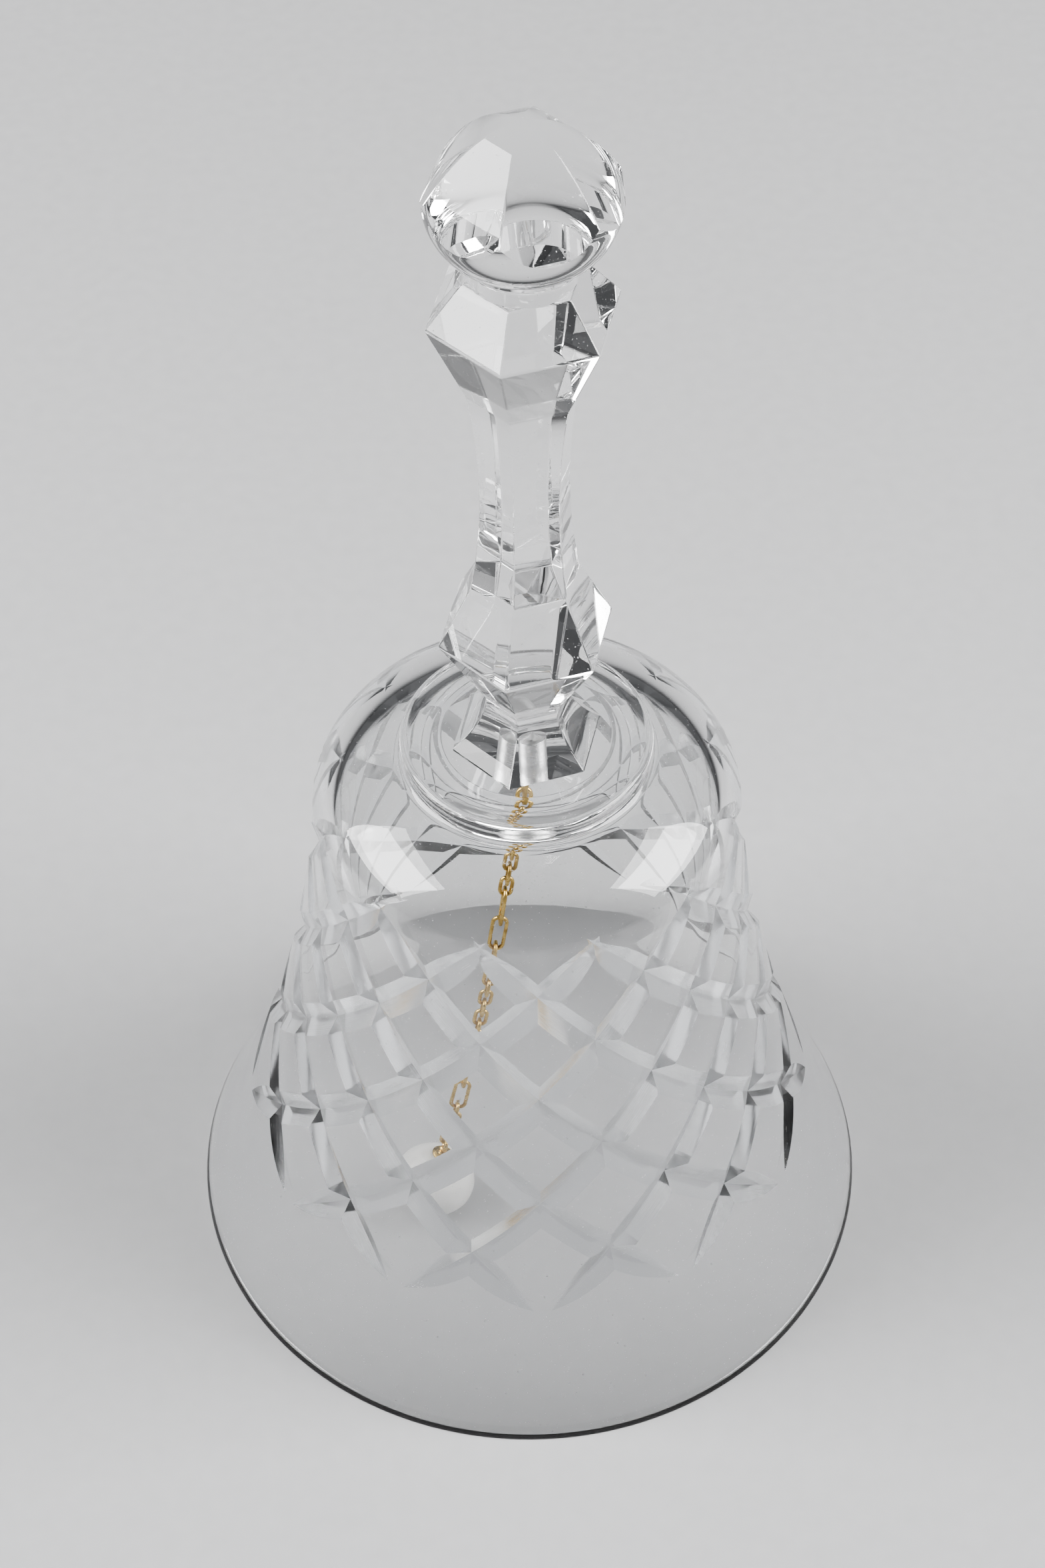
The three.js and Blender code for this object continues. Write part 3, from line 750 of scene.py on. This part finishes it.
def chain_link(name, pivot, end, up, normal, material):
    """An oval loop of wire from its hook on the link above down to its pivot for the next."""
    pitch = np.linalg.norm(end - pivot)
    bend = LONG_BEND_RADIUS if pitch > LONG_LINK_LENGTH else SMALL_BEND_RADIUS
    half_length = (pitch + HOOK) / 2
    centre = pivot + up * (HOOK - half_length)
    path = stadium(centre, up, np.cross(normal, up), half_length, bend)
    return wire("chain_" + name, path, WIRE_RADIUS, material, closed=True)


def clapper_eye(pivot, end, up, normal, material):
    """Wire eye on a flanged post that goes down into the ball."""
    centre = pivot + up * (HOOK - EYE_BEND_RADIUS)
    wide = np.cross(normal, up)
    loop = [
        centre + EYE_BEND_RADIUS * (wide * math.sin(a) + up * math.cos(a))
        for a in np.linspace(0, 2 * math.pi, 36, endpoint=False)
    ]
    eye = wire("clapper_eye_wire", loop, WIRE_RADIUS, material, closed=True)
    post_top = np.linalg.norm(centre - end) - EYE_BEND_RADIUS
    foot = BALL_RADIUS - POST_DEPTH
    flange = BALL_RADIUS + FIT_GAP
    line = [(0, foot), (POST_RADIUS, foot), (POST_RADIUS, flange - 0.02)]
    line += [(FLANGE_RADIUS - 0.2, flange), (FLANGE_RADIUS, flange + 0.12)]
    line += [(FLANGE_RADIUS, flange + 0.3), (FLANGE_RADIUS - 0.3, flange + 0.48)]
    line += [(POST_RADIUS + 0.12, flange + 0.52), (POST_RADIUS, flange + 0.7)]
    line += [(POST_RADIUS, post_top + 0.1), (0.35, post_top + 0.25), (0, post_top + 0.3)]
    post = solid("post", turned(line, 32), materials=[material])
    post.data.transform(upright(end, up))
    combine(eye, post, "UNION")
    return eye


def upright(origin, up):
    """Matrix that puts an upright shape on the line from origin along up."""
    turn = Vector((0, 0, 1)).rotation_difference(Vector(up)).to_matrix().to_4x4()
    return Matrix.Translation(Vector(origin) * MM) @ turn


def clapper_ball(end, up, material):
    """Ball with a drilled hole, its edge chamfered."""
    lip_angle = math.asin((BALL_BORE + BALL_BORE_CHAMFER) / BALL_RADIUS)
    angle = np.linspace(math.pi, lip_angle, 64)
    shell = BALL_RADIUS * np.column_stack([np.sin(angle), np.cos(angle)])
    shell[0, 0] = 0
    bottom = BALL_RADIUS - BALL_BORE_DEPTH
    lip = BALL_RADIUS * math.cos(lip_angle) - BALL_BORE_CHAMFER
    hole = [(BALL_BORE, lip), (BALL_BORE, bottom), (0, bottom)]
    ball = solid("clapper_ball_bead", turned(np.vstack([shell, hole]), 96), materials=[material])
    ball.data.transform(upright(end, up))
    return ball


# ---- Assembly ----------------------------------------------------------------------------------

crystal = [polished_crystal()] * 2 + [cut_crystal()] * 2 + [ground_crystal()]
bell = crystal_bell(crystal)
finish_piece(bell, "bell", ["bell_bowl", "handle"], angle=None)

finish_piece(hanger_ferrule(white_metal()), "bell", ["hanger_ferrule"])
finish_piece(eye_pin(dark_wire()), "bell", ["eye_pin"])

gold = gilt_brass()
rows = chain_geometry()
for name, pivot, end, up, normal in rows[:-1]:
    link = chain_link(name, pivot, end, up, normal, gold)
    finish_piece(link, name, ["chain_" + name], angle=60)
_, pivot, end, up, normal = rows[-1]
finish_piece(clapper_eye(pivot, end, up, normal, gold), "clapper", ["clapper_eye"])
finish_piece(clapper_ball(end, up, satin_glass()), "clapper", ["clapper_ball"])

# ---- Studio ------------------------------------------------------------------------------------


def floor_material():
    look = Look("studio_paper")
    place = look.place()
    grain = look.noise(place, 0.4, 4)
    look.set("Base Color", look.mix(grain, (0.40, 0.40, 0.405), (0.44, 0.44, 0.445)))
    look.set("Roughness", look.ramp(grain, 0.3, 0.7, 0.6, 0.75))
    return look.material


bpy.ops.mesh.primitive_plane_add(size=8, location=(0, 0, 0))
floor = bpy.context.object
floor.name = "studio_floor"
floor.data.materials.append(floor_material())


def softbox(name, place, size, power):
    """A square light that faces the bell."""
    lamp = bpy.data.lights.new(name, "AREA")
    lamp.size = size
    lamp.energy = power
    holder = bpy.data.objects.new(name, lamp)
    holder.location = place
    aim = Vector((0, 0, 0.08)) - Vector(place)
    holder.rotation_euler = aim.to_track_quat("-Z", "Y").to_euler()
    bpy.context.scene.collection.objects.link(holder)


for name, side in (("left_softbox", -1), ("right_softbox", 1)):
    softbox(name, (side * 0.85, -0.07, 0.68), 0.7, 22)

world = bpy.data.worlds.new("studio")
world.use_nodes = True
world.node_tree.nodes["Background"].inputs["Color"].default_value = (0.85, 0.87, 0.9, 1)
world.node_tree.nodes["Background"].inputs["Strength"].default_value = 0.10
bpy.context.scene.world = world

CAMERA_DOWN = 49.09  # degrees below level
CAMERA_ROLL = 0.41
CAMERA_PAN = 0.08
CAMERA_PLACE = (0, -0.24414, 0.35996)

camera = bpy.data.cameras.new("camera")
camera.sensor_fit = "VERTICAL"
camera.sensor_height = 36
camera.lens = 71.25
holder = bpy.data.objects.new("camera", camera)
aim = Matrix.Rotation(math.radians(90 - CAMERA_DOWN), 4, "X")
aim = aim @ Matrix.Rotation(math.radians(CAMERA_PAN), 4, "Y")
aim = aim @ Matrix.Rotation(math.radians(-CAMERA_ROLL), 4, "Z")
holder.matrix_world = Matrix.Translation(CAMERA_PLACE) @ aim
bpy.context.scene.collection.objects.link(holder)
bpy.context.scene.camera = holder

cycles = bpy.context.scene.cycles
cycles.max_bounces = 32
cycles.transmission_bounces = 32
cycles.glossy_bounces = 12
cycles.diffuse_bounces = 4
cycles.transparent_max_bounces = 16
cycles.use_denoising = True
bpy.context.scene.view_settings.view_transform = "AgX"
bpy.context.scene.view_settings.look = "AgX - Medium High Contrast"
